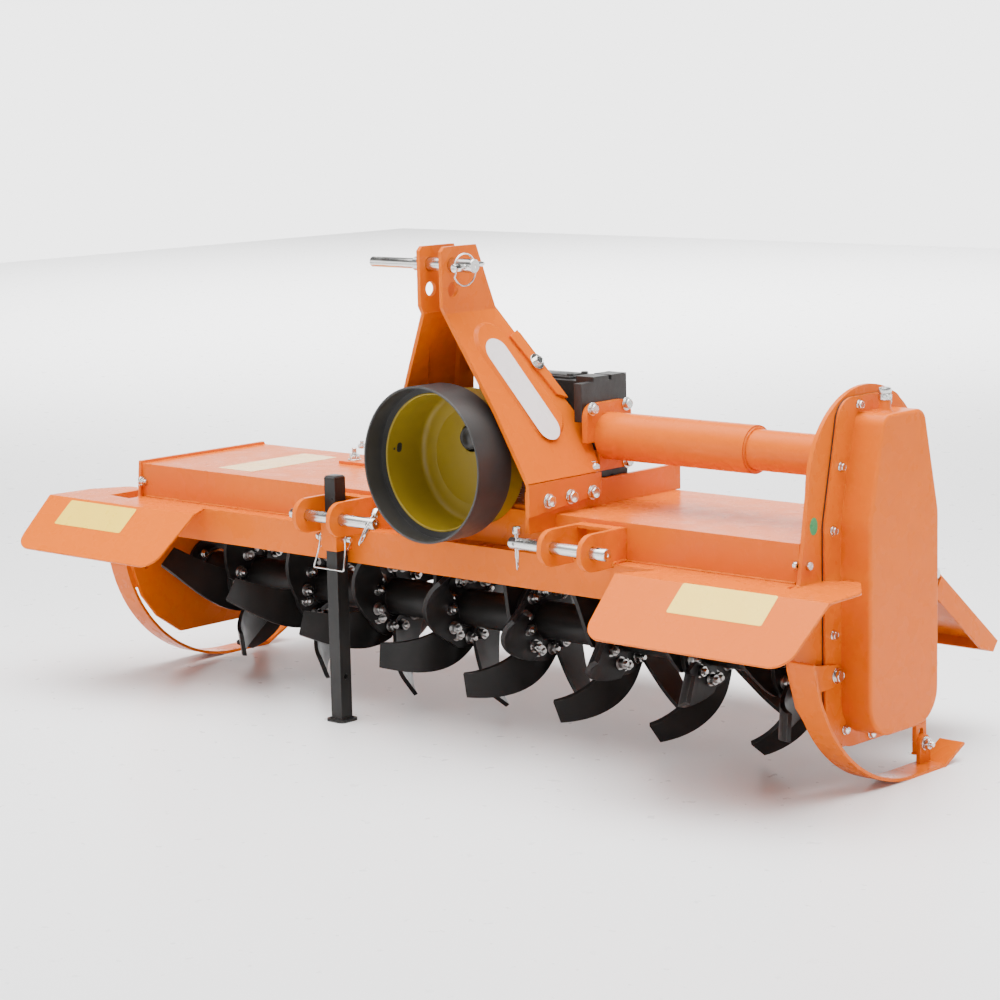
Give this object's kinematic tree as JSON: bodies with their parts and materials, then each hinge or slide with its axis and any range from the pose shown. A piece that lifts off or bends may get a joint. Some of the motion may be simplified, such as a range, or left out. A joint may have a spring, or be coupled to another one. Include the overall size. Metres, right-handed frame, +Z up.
{
  "type": "rotavator",
  "caption": "Tractor-mounted rotary tiller with a bladed rotor under a folded deck, side chain case, three-point hitch tower, shielded drive shaft, skids, rear board and parking stand.",
  "frame": {"origin": "middle of the machine's footprint on the floor: centre of the bounding box in X and Y, floor at Z = 0", "axes": "+X along the rotor towards the chain case, -Y towards the tractor, +Z up"},
  "size_m": [1.972, 0.8242, 0.914],
  "materials": {
    "orange_paint": "gloss",
    "black_paint": "satin",
    "zinc": "satin",
    "bare_steel": "satin",
    "cast_housing": "satin",
    "yellow_plastic": "satin",
    "black_rubber": "matte",
    "gasket": "matte"
  },
  "bodies": {
    "frame": {"axle_tube": "orange_paint", "axle_tube_end": "orange_paint", "back_plate": "orange_paint", "board_hinge": "zinc", "chain_cover": "orange_paint", "chain_gasket": "gasket", "clevis_left": "orange_paint", "clevis_right": "orange_paint", "deck": "orange_paint", "deck_plate": "orange_paint", "filler_plug": "zinc", "front_beam": "orange_paint", "gearbox": "cast_housing", "gearbox_tray": "orange_paint", "guard_left": "orange_paint", "guard_right": "orange_paint", "lower_pin_left": "zinc", "lower_pin_right": "zinc", "rotor_bearing_left": "black_paint", "rotor_bearing_right": "black_paint", "shaft_shield": "yellow_plastic", "shield_skirt": "black_rubber", "side_plate_left": "orange_paint", "skid_bar_left": "orange_paint", "skid_bar_right": "orange_paint", "skid_left": "orange_paint", "skid_right": "orange_paint", "stand_sleeve": "orange_paint", "top_link_pin": "zinc", "tower_brace": "orange_paint", "tower_left": "orange_paint", "tower_right": "orange_paint"},
    "rotor": {"rotor": "black_paint"},
    "drive_shaft": {"input_shaft": "bare_steel"},
    "board": {"rear_board": "orange_paint"},
    "stand": {"stand_leg": "black_paint"}
  },
  "joints": [
    {"name": "rotor_spin", "type": "hinge", "parent": "frame", "child": "rotor", "pos_m": [0.124, -0.03642, 0.198], "axis": [1, 0, 0], "continuous": true},
    {"name": "shaft_spin", "type": "hinge", "parent": "frame", "child": "drive_shaft", "pos_m": [0.124, -0.22042, 0.561], "axis": [0, -1, 0], "continuous": true},
    {"name": "board_swing", "type": "hinge", "parent": "frame", "child": "board", "pos_m": [0.124, 0.20358, 0.326], "axis": [1, 0, 0], "range_deg": [-40, 80]},
    {"name": "stand_slide", "type": "slide", "parent": "frame", "child": "stand", "axis": [0, 0, 1], "range_m": [0, 0.26]}
  ],
  "couplings": [
    {"joint": "shaft_spin", "follows": "rotor_spin", "ratio": 2.57}
  ]
}
